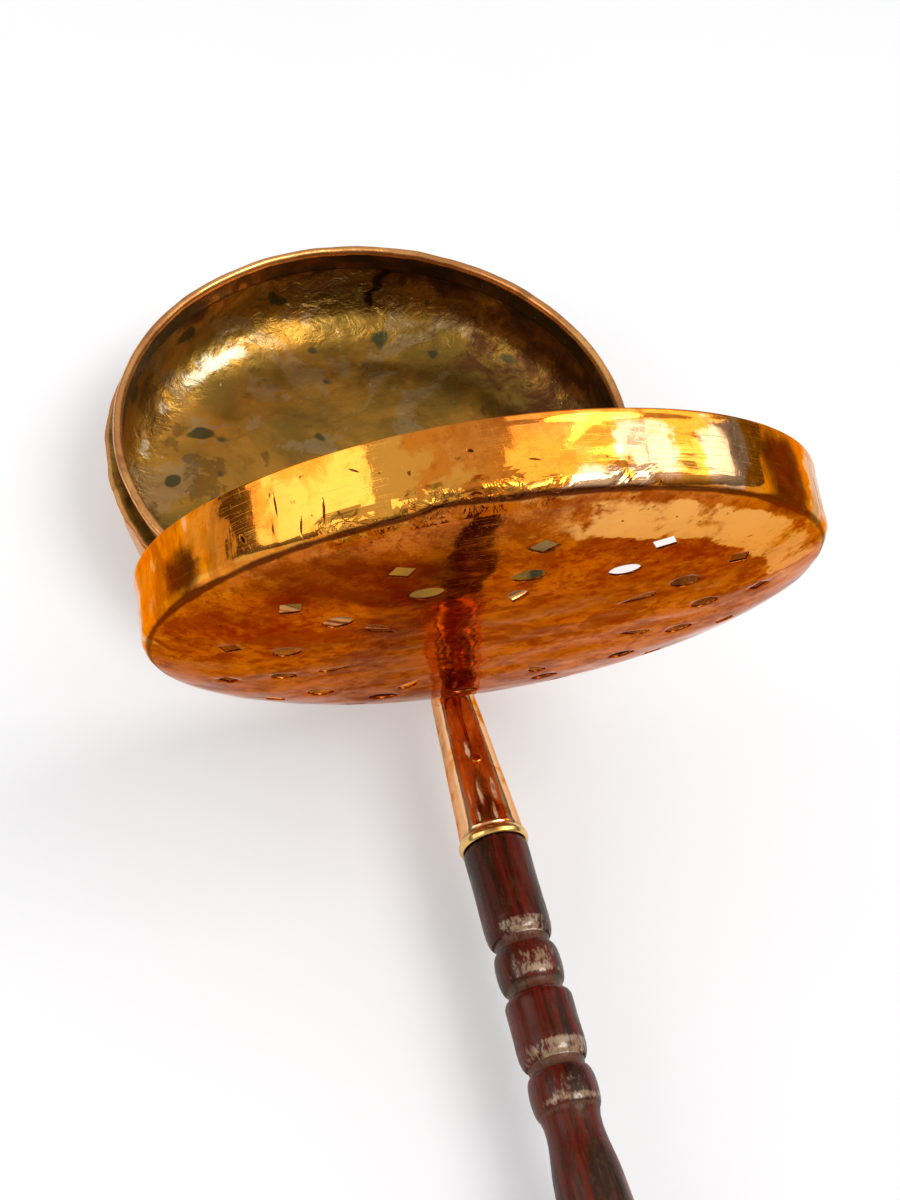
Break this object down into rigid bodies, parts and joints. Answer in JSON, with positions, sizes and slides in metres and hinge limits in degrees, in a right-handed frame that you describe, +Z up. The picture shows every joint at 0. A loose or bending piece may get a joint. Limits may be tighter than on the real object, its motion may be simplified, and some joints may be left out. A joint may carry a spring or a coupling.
{
  "type": "bed warming pan",
  "caption": "Copper bed warming pan with a pierced hinged lid standing open and a long turned wooden handle.",
  "frame": {"origin": "centre of the bowl's flat base, at its underside", "axes": "+Z up, out of the bowl's mouth; the handle runs along -Y; +X is across the handle"},
  "size_m": [0.3113, 1.0821, 0.3408],
  "materials": {
    "polished_copper": "polished copper with dents and a warm patina",
    "old_copper": "dull brown-gold patina on copper",
    "brass": "polished",
    "iron": "dark, worn",
    "wood": "dark red-brown stain, waxed and glossy"
  },
  "bodies": {
    "pan": {"pan_bowl": "old_copper", "neck_ring": "old_copper", "lip_wire": "iron", "hinge_plate": "old_copper", "plate_rivet_1": "old_copper", "plate_rivet_2": "old_copper", "plate_rivet_3": "old_copper", "plate_rivet_4": "old_copper", "hinge_pin": "iron", "handle_tang": "iron", "tang_rove": "old_copper", "ferrule_cone": "polished_copper", "ferrule_collar": "brass", "ferrule_nail": "polished_copper", "handle_wood": "wood"},
    "lid": {"lid_cover": "polished_copper", "hinge_strap": "old_copper", "strap_rivet_1": "old_copper", "strap_rivet_2": "old_copper"}
  },
  "joints": [
    {"name": "lid_hinge", "type": "hinge", "parent": "pan", "child": "lid", "pos_m": [-0.00554, -0.1533, 0.0556], "axis": [0.9993, -0.0361, 0], "range_deg": [-110.6, 0]}
  ]
}
